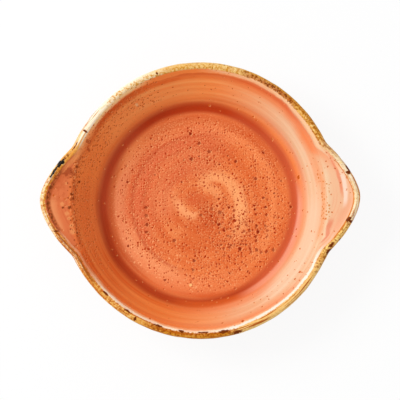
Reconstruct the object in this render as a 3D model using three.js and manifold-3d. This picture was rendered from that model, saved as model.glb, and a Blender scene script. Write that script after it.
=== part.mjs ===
// Eared dish: a round stoneware dish with two ears at its rim, in millimetres, +Z up.
// The origin is the middle of the foot ring, on the table. The ears lie along X.
import * as THREE from "three";
import { mergeVertices } from "three/addons/utils/BufferGeometryUtils.js";
import Module from "manifold-3d";

// Finished sizes of the glazed dish
const RIM_DIAMETER = 180;
const HEIGHT = 38;
const WALL = 5.2;
const FLOOR_DIAMETER = 122; // the flat of the floor inside
const CORNER_RADIUS = 10; // where the floor turns up into the wall
const FOOT_HEIGHT = 2.6;
const FOOT_WIDTH = 5.5;
const FOOT_SETOUT = 2; // how far the foot stands outside the flat of the floor
const FOOT_CHAMFER = 0.6;

// The ears
const EAR_REACH = 14; // from the round rim out to the tip
const EAR_WIDTH = 73; // along the round rim
const EAR_TIP = 8; // how blunt the tip is: 0 would be a point
const EAR_BLEND = 0.8; // how softly the flanks run into the rim
const EAR_RISE = 4.5; // height of rim that is drawn out into the ear's ledge
const EAR_THICKNESS = 4.7;

// The coats and the seams
const GLAZE = 0.6;
const SLIP = 0.6;
const SEAT = 0.3; // gap between pieces that touch
const SEAM_CLEAR = 0.1; // the ear's seam stands this far outside the round lip
const EDGE_LAP = 3; // how far the edge band laps down the outside
const FOOT_BARE = 1.2; // the foot is wiped clean of glaze up to here

// Facets
const SEGMENTS = 64; // round the dish
const EAR_CROWDING = 0.4; // 0 spreads the segments evenly, more crowds them at the ears
const ARC_STEPS = 4;
const LIP_STEPS = 6;
const RISE_STEPS = 4;
const CUT_MARGIN = 5; // cutters stand this far past what they cut

const rimRadius = RIM_DIAMETER / 2;
const clayDepth = GLAZE + SEAT; // the clay lies this far below the finished surface
const footOuter = FLOOR_DIAMETER / 2 + FOOT_SETOUT;
const footInner = footOuter - FOOT_WIDTH;

// The half section: a flat floor, a corner arc, and a straight wall that ends in a round lip.
const lip = new THREE.Vector2(rimRadius - WALL / 2, HEIGHT - WALL / 2);
const corner = new THREE.Vector2(FLOOR_DIAMETER / 2, FOOT_HEIGHT + WALL + CORNER_RADIUS);
const cornerToLip = lip.clone().sub(corner);
const wallAngle = cornerToLip.angle() + Math.asin((CORNER_RADIUS + WALL / 2) / cornerToLip.length());
const inward = new THREE.Vector2(-Math.sin(wallAngle), Math.cos(wallAngle));
const riseTop = lip.y + (WALL / 2) * inward.y;

// A point of the section. Depth is its distance below the finished inside of the wall.
const point = (r, z, depth = 0) => ({ r, z, depth });

// The point of the wall's straight stretch at a depth and a height.
function onWall(depth, z) {
  const top = lip.clone().addScaledVector(inward, WALL / 2 - depth);
  return point(top.x - (top.y - z) / Math.tan(wallAngle), z, depth);
}

// The height at a depth in the wall where a share of the ear's rise is reached.
const riseLevel = (depth, share) => riseTop - EAR_RISE * (1 - share) - (EAR_THICKNESS * depth) / WALL;

// The height at a depth in the wall where the wall meets the lip's arc.
const wallTop = (depth) => lip.y + (WALL / 2 - depth) * inward.y;

// Points of the wall at a depth, at evenly spaced shares of the ear's rise, both ends included.
function riseRun(depth, from, to) {
  return Array.from({ length: RISE_STEPS + 1 }, (_, i) =>
    onWall(depth, riseLevel(depth, from + ((to - from) * i) / RISE_STEPS)),
  );
}

// Points of the corner's arc at a radius, from one angle to another, both included.
function cornerArc(radius, from, to, depth) {
  return Array.from({ length: ARC_STEPS + 1 }, (_, i) => {
    const angle = from + ((to - from) * i) / ARC_STEPS;
    return point(corner.x + radius * Math.cos(angle), corner.y + radius * Math.sin(angle), depth);
  });
}

// Points over the lip at an offset below its surface, from the outside through a share of its half turn.
function lipArc(offset, share) {
  const radius = WALL / 2 - offset;
  return Array.from({ length: LIP_STEPS + 1 }, (_, i) => {
    const turn = (Math.PI * share * i) / LIP_STEPS;
    const angle = wallAngle - Math.PI / 2 + turn;
    const depth = WALL / 2 + radius * Math.cos(turn);
    return point(lip.x + radius * Math.cos(angle), lip.y + radius * Math.sin(angle), depth);
  });
}

// The share of the ear's rise at which the edge band stops on the outside.
const bandShare = (wallTop(WALL) - EDGE_LAP * Math.sin(wallAngle) - riseLevel(WALL, 0)) / EAR_RISE;

// Up the outside, at an offset below its surface: the foot's side, the corner and the wall, to the edge band.
function upOutside(offset, from) {
  const side = footOuter - offset;
  const depth = WALL - offset;
  const radius = CORNER_RADIUS + depth;
  const meets = -Math.acos((side - corner.x) / radius);
  return [
    point(side, from, depth),
    ...cornerArc(radius, meets, wallAngle - Math.PI / 2, depth),
    ...riseRun(depth, 0, bandShare),
  ];
}

// Over the lip, at an offset below its surface, from the edge band's foot through a share of the lip's arc.
function overLip(offset, share) {
  const depth = WALL - offset;
  return [
    onWall(depth, riseLevel(depth, bandShare)),
    onWall(depth, riseLevel(depth, 1)),
    ...lipArc(offset, share),
  ];
}

// Down the inside, at an offset below its surface: the wall from the lip, the corner, and in to the axis.
function downInside(offset) {
  const radius = CORNER_RADIUS + offset;
  return [
    onWall(offset, wallTop(offset)),
    ...riseRun(offset, 1, 0).slice(1),
    ...cornerArc(radius, wallAngle - Math.PI / 2, -Math.PI / 2, offset),
    point(0, corner.y - radius, offset),
  ];
}

// How far an ear reaches out of the round rim at an angle: a hyperbola with a blunt tip and soft ends.
function earReach(angle) {
  const fromTip = Math.atan2(Math.abs(Math.sin(angle)), Math.abs(Math.cos(angle)));
  const along = rimRadius * fromTip;
  const ends = Math.hypot(EAR_WIDTH / 2, EAR_TIP);
  const drawn = (EAR_REACH * (ends - Math.hypot(along, EAR_TIP))) / (ends - EAR_TIP);
  return (drawn + Math.hypot(drawn, EAR_BLEND)) / 2;
}

// The share of the ear's reach that a point of the section takes: none below the ledge, all at the lip.
function drawnOut({ z, depth }) {
  const share = THREE.MathUtils.clamp((z - riseLevel(depth, 0)) / EAR_RISE, 0, 1);
  return share * share * (3 - 2 * share);
}

// A closed section turned round the axis, with its segments crowded at the ears, and the ears drawn out.
function turned(section, reach = earReach) {
  const geometry = new THREE.LatheGeometry(section.map(({ r, z }) => new THREE.Vector2(r, z)), SEGMENTS);
  const places = geometry.attributes.position;
  for (let i = 0; i < places.count; i++) {
    const { r, z, depth } = section[i % section.length];
    const even = (Math.floor(i / section.length) * 2 * Math.PI) / SEGMENTS;
    const angle = even - (EAR_CROWDING * Math.sin(2 * even)) / 2;
    const out = r + reach(angle) * drawnOut({ z, depth });
    places.setXYZ(i, out * Math.cos(angle), out * Math.sin(angle), z);
  }
  geometry.deleteAttribute("normal");
  geometry.deleteAttribute("uv");
  return mergeVertices(geometry);
}

// The clay: pot and ears in one, before the seams are cut.
function claySection() {
  const side = footInner + clayDepth;
  const bare = footOuter - clayDepth;
  return [
    point(0, FOOT_HEIGHT + clayDepth),
    point(side, FOOT_HEIGHT + clayDepth),
    point(side, FOOT_CHAMFER),
    point(side + FOOT_CHAMFER, 0),
    point(bare - FOOT_CHAMFER, 0),
    ...upOutside(clayDepth, FOOT_CHAMFER).slice(0, -1),
    ...overLip(clayDepth, 1).slice(0, -1),
    ...downInside(clayDepth),
  ];
}

// The inside coat lies between the finished surface and the glaze's depth below it.
function insideGlazeSection() {
  return [...downInside(GLAZE).reverse(), ...downInside(0)];
}

// The edge band wraps the lip and laps down the outside. It stops a seat short of the inside coat.
function edgeGlazeSection() {
  const share = 1 - SEAT / (Math.PI * (WALL / 2 - GLAZE));
  const outer = overLip(0, share);
  const inner = overLip(GLAZE, share);
  return [...outer, ...inner.reverse(), outer[0]];
}

// The outside coat runs from the wiped foot up to the edge band, and stops a seat short of it.
function outsideGlazeSection() {
  const run = (offset) => {
    const points = upOutside(offset, FOOT_BARE);
    const top = points.pop();
    return [...points, onWall(top.depth, top.z - SEAT)];
  };
  const outer = run(0);
  const inner = run(GLAZE);
  return [...outer, ...inner.reverse(), outer[0]];
}

// The base coat lines the recess inside the foot ring.
function baseGlazeSection() {
  return [
    point(0, FOOT_HEIGHT),
    point(footInner, FOOT_HEIGHT),
    point(footInner, FOOT_BARE),
    point(footInner + GLAZE, FOOT_BARE),
    point(footInner + GLAZE, FOOT_HEIGHT + GLAZE),
    point(0, FOOT_HEIGHT + GLAZE),
  ];
}

// Solids for joining and cutting
const wasm = await Module();
wasm.setup();

function solid(geometry) {
  return new wasm.Manifold(
    new wasm.Mesh({
      numProp: 3,
      vertProperties: new Float32Array(geometry.attributes.position.array),
      triVerts: new Uint32Array(geometry.index.array),
    }),
  );
}

function geometryOf(made) {
  const mesh = made.getMesh();
  const geometry = new THREE.BufferGeometry();
  geometry.setAttribute("position", new THREE.BufferAttribute(new Float32Array(mesh.vertProperties), 3));
  geometry.setIndex(new THREE.BufferAttribute(new Uint32Array(mesh.triVerts), 1));
  return geometry;
}

// A round plug that stands a clearance outside the clay's lip. What lies past it is ear.
function seamPlug(clearance) {
  const radius = rimRadius - clayDepth + SEAM_CLEAR + clearance;
  const section = [
    point(0, -CUT_MARGIN),
    point(radius, -CUT_MARGIN),
    point(radius, HEIGHT + CUT_MARGIN),
    point(0, HEIGHT + CUT_MARGIN),
  ];
  return solid(turned(section, () => 0));
}

// A block that holds one side of the dish: +1 is the right, -1 the left.
function sideBlock(side) {
  const width = rimRadius + EAR_REACH + CUT_MARGIN;
  const block = new THREE.BoxGeometry(width, 2 * width, 2 * (HEIGHT + CUT_MARGIN));
  block.translate((side * width) / 2, 0, 0);
  block.deleteAttribute("normal");
  block.deleteAttribute("uv");
  return solid(mergeVertices(block));
}

const clay = solid(turned(claySection()));
const slipInner = seamPlug(SEAT);
const slipOuter = seamPlug(SEAT + SLIP);
const earSeat = seamPlug(SEAT + SLIP + SEAT);

// Finishes, as the photograph shows them
const finishes = {
  clay: new THREE.MeshStandardMaterial({ color: 0xd8cbb8, roughness: 0.85, metalness: 0 }),
  slip: new THREE.MeshStandardMaterial({ color: 0xc9b9a2, roughness: 0.9, metalness: 0 }),
  orange: new THREE.MeshStandardMaterial({ color: 0xe07343, roughness: 0.35, metalness: 0 }),
  edge: new THREE.MeshStandardMaterial({ color: 0xc8933c, roughness: 0.3, metalness: 0 }),
  outside: new THREE.MeshStandardMaterial({ color: 0xd9753f, roughness: 0.35, metalness: 0 }),
  base: new THREE.MeshStandardMaterial({ color: 0xe9ddc8, roughness: 0.3, metalness: 0 }),
};

const dish = new THREE.Group();
function add(name, geometry, finish) {
  const mesh = new THREE.Mesh(geometry, finish);
  mesh.name = name;
  dish.add(mesh);
}

add("dish_body", geometryOf(clay.intersect(seamPlug(0))), finishes.clay);
for (const [name, side] of [["left_ear", -1], ["right_ear", 1]]) {
  const half = clay.intersect(sideBlock(side));
  add(name, geometryOf(half.subtract(earSeat)), finishes.clay);
  add(`${name}_slip`, geometryOf(half.intersect(slipOuter).subtract(slipInner)), finishes.slip);
}
add("inside_glaze", turned(insideGlazeSection()), finishes.orange);
add("edge_glaze", turned(edgeGlazeSection()), finishes.edge);
add("outside_glaze", turned(outsideGlazeSection()), finishes.outside);
add("base_glaze", turned(baseGlazeSection()), finishes.base);

export default dish;
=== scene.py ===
"""Looks of the eared dish: smooth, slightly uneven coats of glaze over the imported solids.

Lengths inside the script are millimetres in the part's frame, and become metres when a mesh is made.
Directions are degrees round the dish, from the right ear and anticlockwise as seen from above.
"""
from math import asin, atan2, cos, degrees, hypot, pi, radians, sin, tan

import bpy
import numpy as np
from mathutils import Matrix, Vector


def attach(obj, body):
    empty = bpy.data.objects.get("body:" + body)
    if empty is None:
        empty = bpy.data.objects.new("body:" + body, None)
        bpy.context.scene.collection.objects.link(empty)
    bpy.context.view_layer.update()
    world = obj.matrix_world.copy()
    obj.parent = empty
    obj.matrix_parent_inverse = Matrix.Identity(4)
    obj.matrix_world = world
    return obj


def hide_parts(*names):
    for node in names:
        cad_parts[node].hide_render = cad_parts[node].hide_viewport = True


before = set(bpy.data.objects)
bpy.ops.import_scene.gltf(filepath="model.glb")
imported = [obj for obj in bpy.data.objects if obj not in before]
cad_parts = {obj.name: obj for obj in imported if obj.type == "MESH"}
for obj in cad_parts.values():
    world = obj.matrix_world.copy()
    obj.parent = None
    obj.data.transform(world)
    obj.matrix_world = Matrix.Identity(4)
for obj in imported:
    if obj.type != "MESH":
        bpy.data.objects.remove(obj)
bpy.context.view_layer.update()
scene = bpy.context.scene

MM = 0.001

# The dish's sizes, as in the part's source
RIM_RADIUS = 90.0
HEIGHT = 38.0
WALL = 5.2
FLOOR_RADIUS = 61.0
CORNER_RADIUS = 10.0
FOOT_HEIGHT = 2.6
FOOT_WIDTH = 5.5
FOOT_SETOUT = 2.0
FOOT_CHAMFER = 0.6
EAR_REACH = 14.0
EAR_WIDTH = 73.0
EAR_TIP = 8.0
EAR_BLEND = 0.8
EAR_RISE = 4.5
EAR_THICKNESS = 4.7
GLAZE = 0.6
SEAT = 0.3
SEAM_CLEAR = 0.1
EDGE_LAP = 3.0
FOOT_BARE = 1.2

# How fine the meshes are: segments round the dish, and points along each stretch of the section
SEGMENTS = 320
EAR_CROWDING = 0.3  # the segments stand closer at the ears
FLOOR_POINTS = 60
CORNER_POINTS = 18
WALL_POINTS = 18
WALL_TOP = 0.75  # the share of the wall's length from which its points stand closer
WALL_TOP_POINTS = 26
LIP_POINTS = 30
LAP_POINTS = 12
OUTSIDE_TOP = 14.0  # how far below the lip the points of the outside stand closer
OUTSIDE_TOP_POINTS = 26
OUTSIDE_POINTS = 12
OUTSIDE_CORNER_POINTS = 20
FOOT_SIDE_POINTS = 5
RECESS_SIDE_POINTS = 6
RECESS_POINTS = 50
CHAMFER_POINTS = 7
SHARP_EDGE = radians(50)
EVEN = np.arange(SEGMENTS) * 2 * pi / SEGMENTS
ANGLES = EVEN - EAR_CROWDING * np.sin(2 * EVEN) / 2

CLAY_DEPTH = GLAZE + SEAT
FOOT_OUTER = FLOOR_RADIUS + FOOT_SETOUT
FOOT_INNER = FOOT_OUTER - FOOT_WIDTH
LIP = np.array([RIM_RADIUS - WALL / 2, HEIGHT - WALL / 2])
CORNER = np.array([FLOOR_RADIUS, FOOT_HEIGHT + WALL + CORNER_RADIUS])
CORNER_TO_LIP = LIP - CORNER
WALL_ANGLE = atan2(CORNER_TO_LIP[1], CORNER_TO_LIP[0]) + asin(
    (CORNER_RADIUS + WALL / 2) / np.hypot(*CORNER_TO_LIP)
)
INWARD = np.array([-sin(WALL_ANGLE), cos(WALL_ANGLE)])
ALONG = np.array([cos(WALL_ANGLE), sin(WALL_ANGLE)])
RISE_TOP = LIP[1] + WALL / 2 * INWARD[1]
WALL_LENGTH = float(np.dot(CORNER_TO_LIP, ALONG))
LIP_LENGTH = pi * WALL / 2
LIP_OUTERMOST = WALL / 2 * (WALL_ANGLE + pi / 2)  # across the lip to the outline


def smooth(x, low, high):
    """0 below low, 1 above high, and an even curve between."""
    t = np.clip((x - low) / (high - low), 0, 1)
    return t * t * (3 - 2 * t)


def plateau(x, a, b, c, d):
    """Rises from a to b and falls from c to d."""
    return smooth(x, a, b) * (1 - smooth(x, c, d))


# Lines of the section
def section(r, z, depth=0.0, across=0.0):
    """Rows of r, z, depth in the wall, and distance across the surface from the inner edge of the lip.

    The distance is below 0 on the inside, and above it over the lip and down the outside.
    """
    return np.stack(np.broadcast_arrays(r, z, depth, across), 1)


def arc(middle, radius, turn):
    """The r and z of points round a middle, turned outward from straight below it."""
    return middle[0] + radius * np.sin(turn), middle[1] - radius * np.cos(turn)


def down_wall(inward, down):
    """The r and z of points down the wall, some way inward of its middle line."""
    r, z = LIP + INWARD * inward
    return r - ALONG[0] * down, z - ALONG[1] * down


def inside_line(offset):
    """From the axis along the floor, up the corner and the wall, to the inner edge of the lip."""
    radius = CORNER_RADIUS + offset
    floor = np.linspace(0, FLOOR_RADIUS, FLOOR_POINTS)
    level = np.full_like(floor, CORNER[1] - radius)
    turn = np.linspace(0, WALL_ANGLE, CORNER_POINTS)[1:]
    lower = np.linspace(0, WALL_TOP, WALL_POINTS)[1:]
    upper = np.linspace(WALL_TOP, 1, WALL_TOP_POINTS)[1:]
    below = WALL_LENGTH * (1 - np.hstack([lower, upper]))
    wall = down_wall(WALL / 2 - offset, below)
    corner_start = -WALL_LENGTH - CORNER_RADIUS * WALL_ANGLE
    r, z = np.hstack([(floor, level), arc(CORNER, radius, turn), wall])
    across = corner_start + np.hstack([floor - FLOOR_RADIUS, CORNER_RADIUS * turn])
    return section(r, z, offset, np.hstack([across, -below]))


def lip_line(offset):
    """From the inner edge of the lip over its round, and a lap down the outside."""
    radius = WALL / 2 - offset
    turn = np.linspace(0, pi, LIP_POINTS)
    down = np.linspace(0, EDGE_LAP, LAP_POINTS)[1:]
    r, z = np.hstack([arc(LIP, radius, WALL_ANGLE + pi - turn), down_wall(-radius, down)])
    depth = np.hstack([WALL / 2 - radius * np.cos(turn), np.full_like(down, WALL - offset)])
    return section(r, z, depth, np.hstack([WALL / 2 * turn, LIP_LENGTH + down]))


def outside_line(offset, lowest):
    """From the edge band's foot down the outer wall, round the corner and down the foot's side."""
    depth = WALL - offset
    radius = CORNER_RADIUS + depth
    side = FOOT_OUTER - offset
    upper = np.linspace(EDGE_LAP, OUTSIDE_TOP, OUTSIDE_TOP_POINTS)
    lower = np.linspace(OUTSIDE_TOP, WALL_LENGTH, OUTSIDE_POINTS)[1:]
    down = np.hstack([upper, lower])
    meets = asin((side - CORNER[0]) / radius)
    turn = np.linspace(WALL_ANGLE, meets, OUTSIDE_CORNER_POINTS)[1:]
    foot_top = CORNER[1] - radius * cos(meets)
    drop = np.linspace(foot_top, lowest, FOOT_SIDE_POINTS)[1:]
    foot = (np.full_like(drop, side), drop)
    r, z = np.hstack([down_wall(offset - WALL / 2, down), arc(CORNER, radius, turn), foot])
    round_corner = WALL_LENGTH + (CORNER_RADIUS + WALL) * (WALL_ANGLE - turn)
    across = np.hstack([down, round_corner, round_corner[-1] + foot_top - drop])
    return section(r, z, depth, LIP_LENGTH + across)


def base_line(offset):
    """From the wiped foot up its inner side and in along the recess to the axis."""
    side = FOOT_INNER + offset
    level = FOOT_HEIGHT + offset
    rise = np.linspace(FOOT_BARE, level, RECESS_SIDE_POINTS)
    inward = np.linspace(side, 0, RECESS_POINTS)[1:]
    r = np.hstack([np.full_like(rise, side), inward])
    return section(r, np.hstack([rise, np.full_like(inward, level)]))


def foot_line():
    """The clay's recess and rounded foot ring, from the axis to the ring's outer side."""
    inner = FOOT_INNER + CLAY_DEPTH
    outer = FOOT_OUTER - CLAY_DEPTH
    level = FOOT_HEIGHT + CLAY_DEPTH
    recess = ((0, inner), (level, level))
    turn = np.linspace(-pi / 2, 0, CHAMFER_POINTS)
    inner_round = arc((inner + FOOT_CHAMFER, FOOT_CHAMFER), FOOT_CHAMFER, turn)
    outer_round = arc((outer - FOOT_CHAMFER, FOOT_CHAMFER), FOOT_CHAMFER, turn + pi / 2)
    return section(*np.hstack([recess, inner_round, outer_round]))


def body_line():
    """The clay body's closed line: recess, foot, outside, lip and inside, back to the axis."""
    outer = outside_line(CLAY_DEPTH, FOOT_CHAMFER)[::-1][1:]
    over = lip_line(CLAY_DEPTH)[::-1][1:]
    inner = inside_line(CLAY_DEPTH)[::-1][1:]
    return np.vstack([foot_line(), outer, over, inner])


# The ears and the hand-made unevenness
def ear_reach(angle):
    """How far an ear reaches out of the round rim at an angle."""
    from_tip = np.arctan2(np.abs(np.sin(angle)), np.abs(np.cos(angle)))
    along = RIM_RADIUS * from_tip
    ends = hypot(EAR_WIDTH / 2, EAR_TIP)
    drawn = EAR_REACH * (ends - np.hypot(along, EAR_TIP)) / (ends - EAR_TIP)
    return (drawn + np.hypot(drawn, EAR_BLEND)) / 2


def drawn_out(z, depth):
    """The share of the ear's reach that a point of the section takes."""
    foot = RISE_TOP - EAR_RISE - EAR_THICKNESS * depth / WALL
    return smooth(z, foot, foot + EAR_RISE)


MEAN_RIM = -0.36  # how far the mean rim lies out of its true circle
BULGES = (  # degrees: middle and half width; millimetres out of the mean rim
    (80, 34, 0.32),
    (133, 16, -0.30),
    (174, 6, 0.30),
    (206, 9, 0.32),
    (230, 12, -0.16),
    (276, 28, 0.32),
    (329, 11, -0.42),
    (350, 8, -0.20),
)
RIM_DIP = 0.12  # the height of the rim's longest wave
RIM_WAVES = (  # how many round the dish, lean across the section, phase, share
    (2, 0.0, 2.5, 1.0),
    (5, 0.0, 0.4, 0.6),
    (9, 0.0, 1.7, 0.3),
)
UNEVEN_FROM = 18.0  # the height at which the rim's unevenness starts
UNEVEN_FULL = HEIGHT - 4.0
RIPPLE = 0.045  # the height of the edge band's longest wave
RIPPLE_WAVES = (  # the same columns as the rim's waves
    (23, 0.9, 0.0, 1.0),
    (41, -1.3, 2.0, 0.8),
    (67, 0.0, 0.0, 0.6),
)
RIPPLED = (0.3, 2.2, 9.0, 11.0)  # where the waves start, are full, start to fade and end
FLOOR_RING, FLOOR_PITCH = 0.10, 6.8  # height of the throwing rings, and from one to the next
FLOOR_RINGS = (3, 12, 50, 58)  # the same of the rings
WALL_RING, WALL_PITCH = 0.09, 5.2
WALL_RINGS = (-WALL_LENGTH, 6 - WALL_LENGTH, -6, -2)
OUTSIDE_RING, OUTSIDE_PITCH = 0.05, 3.6
OUTSIDE_RINGS = (5, 9, WALL_LENGTH, WALL_LENGTH + 4)
NUB, NUB_RADIUS = 0.35, 5.0  # the rise in the middle of the floor


def rim_wobble(angle):
    """How far the rim lies out of its true circle, as hands and fire leave it: never above 0."""
    out = np.full_like(angle, MEAN_RIM)
    for middle, half, height in BULGES:
        away = np.angle(np.exp(1j * (angle - radians(middle)))) / radians(half)
        out += height * np.exp(-(away**2))
    return out


def waves(rows, across=0.0):
    """Waves round the dish, added up and lowered so that none rises above 0."""
    total = sum(share * np.sin(n * ANGLES + lean * across + phase) for n, lean, phase, share in rows)
    return total - sum(share for *_, share in rows)


def spiral(place, pitch):
    """A ridge that winds round the dish, from -1 to 1."""
    return np.sin(2 * pi * place / pitch - ANGLES)


def inside_relief(line):
    """The soft ridges that fingers leave on the floor and the wall, and the nub in the middle."""
    r, across = line[:, 0:1], line[:, 3:4]
    floor = FLOOR_RING * spiral(r, FLOOR_PITCH) * plateau(r, *FLOOR_RINGS)
    wall = WALL_RING * spiral(across, WALL_PITCH) * plateau(across, *WALL_RINGS)
    return floor + wall + NUB * np.exp(-((r / NUB_RADIUS) ** 2))


def edge_relief(line):
    """The runny thickness of the edge band."""
    across = line[:, 3:4]
    return RIPPLE * plateau(across, *RIPPLED) * waves(RIPPLE_WAVES, across)


def outside_relief(line):
    """The fine ridges that turning leaves on the outside."""
    below = line[:, 3:4] - LIP_LENGTH
    ridges = OUTSIDE_RING * (-1 - spiral(below, OUTSIDE_PITCH))
    return ridges * plateau(below, *OUTSIDE_RINGS)


# Meshes
def added(name, data):
    """A new object in the scene."""
    made = bpy.data.objects.new(name, data)
    scene.collection.objects.link(made)
    return made


def turned_points(line):
    """A line of the section turned round the axis, with the ears drawn out: points by line and angle."""
    r, z, depth = (line[:, i : i + 1] for i in range(3))
    share = drawn_out(z, depth)
    near_rim = smooth(z, UNEVEN_FROM, UNEVEN_FULL)
    out = r + ear_reach(ANGLES) * share + rim_wobble(ANGLES) * near_rim
    height = z + RIM_DIP * waves(RIM_WAVES) * near_rim
    return np.stack([out * np.cos(ANGLES), out * np.sin(ANGLES), height], 2)


def normals_of(points):
    """Unit normals of a turned grid, out of a coat whose line runs from the inside over the lip."""
    around = np.roll(points, -1, 1) - np.roll(points, 1, 1)
    along = np.gradient(points, axis=0)
    facing = np.cross(along, around)
    return facing / np.maximum(np.linalg.norm(facing, axis=2, keepdims=True), 1e-9)


def ring_faces(index):
    """Faces of a closed grid of vertex numbers, without the corners that fall together at a pole."""
    faces = []
    rows, columns = index.shape
    for j in range(rows):
        k = (j + 1) % rows
        for i in range(columns):
            n = (i + 1) % columns
            corners = dict.fromkeys((index[j, i], index[j, n], index[k, n], index[k, i]))
            if len(corners) > 2:
                faces.append(tuple(map(int, corners)))
    return faces


def shell(name, face, back, relief=None, start=0.0):
    """A closed coat: a face line and a back line, turned and joined at their ends. An end at r 0 is a pole.

    Start is how far along the surface from the middle of the floor the face begins, at each angle.
    Hands back the piece, and how far along its face ends.
    """
    front = turned_points(face)
    if relief:
        front = front + normals_of(front) * relief(face)[:, :, None]
    rear = turned_points(back[::-1])
    steps = np.linalg.norm(np.diff(front, axis=0), axis=2)
    path = start + np.vstack([np.zeros((1, SEGMENTS)), np.cumsum(steps, axis=0)])
    behind = path[::-1] if len(face) == len(back) else np.zeros((len(back), SEGMENTS))
    line = np.vstack([face, back[::-1]])
    grid = np.vstack([front, rear])
    fields = {
        "across": np.repeat(line[:, 3:4], SEGMENTS, 1),
        "path": np.vstack([path, behind]),
        "ear": np.repeat([ear_reach(ANGLES) / EAR_REACH], len(line), 0),
    }
    poles = line[:, 0] < 1e-6
    keep = np.ones((len(line), SEGMENTS), bool)
    keep[poles, 1:] = False
    index = np.cumsum(keep).reshape(keep.shape) - 1
    index[poles] = index[poles, :1]
    mesh = bpy.data.meshes.new(name)
    mesh.from_pydata((grid[keep] * MM).tolist(), [], ring_faces(index))
    for key, values in fields.items():
        field = mesh.attributes.new(key, "FLOAT", "POINT")
        field.data.foreach_set("value", values[keep].astype(np.float32))
    mesh.validate()
    mesh.shade_smooth()
    mesh.set_sharp_from_angle(angle=SHARP_EDGE)
    return added(name, mesh), path[-1]


def clay_body(name):
    """The clay body as one closed piece, cut off at the ears' seams by a round plug."""
    line = body_line()
    half = len(line) // 2
    made, _ = shell(name, line[:half], line[half:][::-1])
    seam = RIM_RADIUS - CLAY_DEPTH + SEAM_CLEAR
    beyond = 5.0
    plug_ends = (section((0.0, seam), z) for z in (-beyond, HEIGHT + beyond))
    plug, _ = shell("seam_plug", *plug_ends)
    cut = made.modifiers.new("seam", "BOOLEAN")
    cut.operation = "INTERSECT"
    cut.solver = "EXACT"
    cut.object = plug
    evaluated = made.evaluated_get(bpy.context.evaluated_depsgraph_get())
    mesh = bpy.data.meshes.new_from_object(evaluated)
    made.modifiers.clear()
    made.data = mesh
    bpy.data.objects.remove(plug)
    return made


inside_coat, reached = shell("inside_coat", inside_line(0), inside_line(GLAZE), inside_relief)
edge_coat, reached = shell("edge_coat", lip_line(0), lip_line(GLAZE), edge_relief, reached)
outside_lines = (outside_line(offset, FOOT_BARE) for offset in (0, GLAZE))
outside_coat, _ = shell("outside_coat", *outside_lines, outside_relief, reached)
base_coat, _ = shell("base_coat", base_line(0), base_line(GLAZE))


# Painting
def linear(red, green, blue):
    """A tone as the shader's linear colour."""
    channels = [c / 255 for c in (red, green, blue)]
    return [c / 12.92 if c <= 0.04045 else ((c + 0.055) / 1.055) ** 2.4 for c in channels] + [1.0]


# The direction from which lengths along the rim count both ways, so that no mark lies where they end
RIM_START = 130

VALUE, COLOUR = 0, 1  # the outputs of a noise


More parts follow.
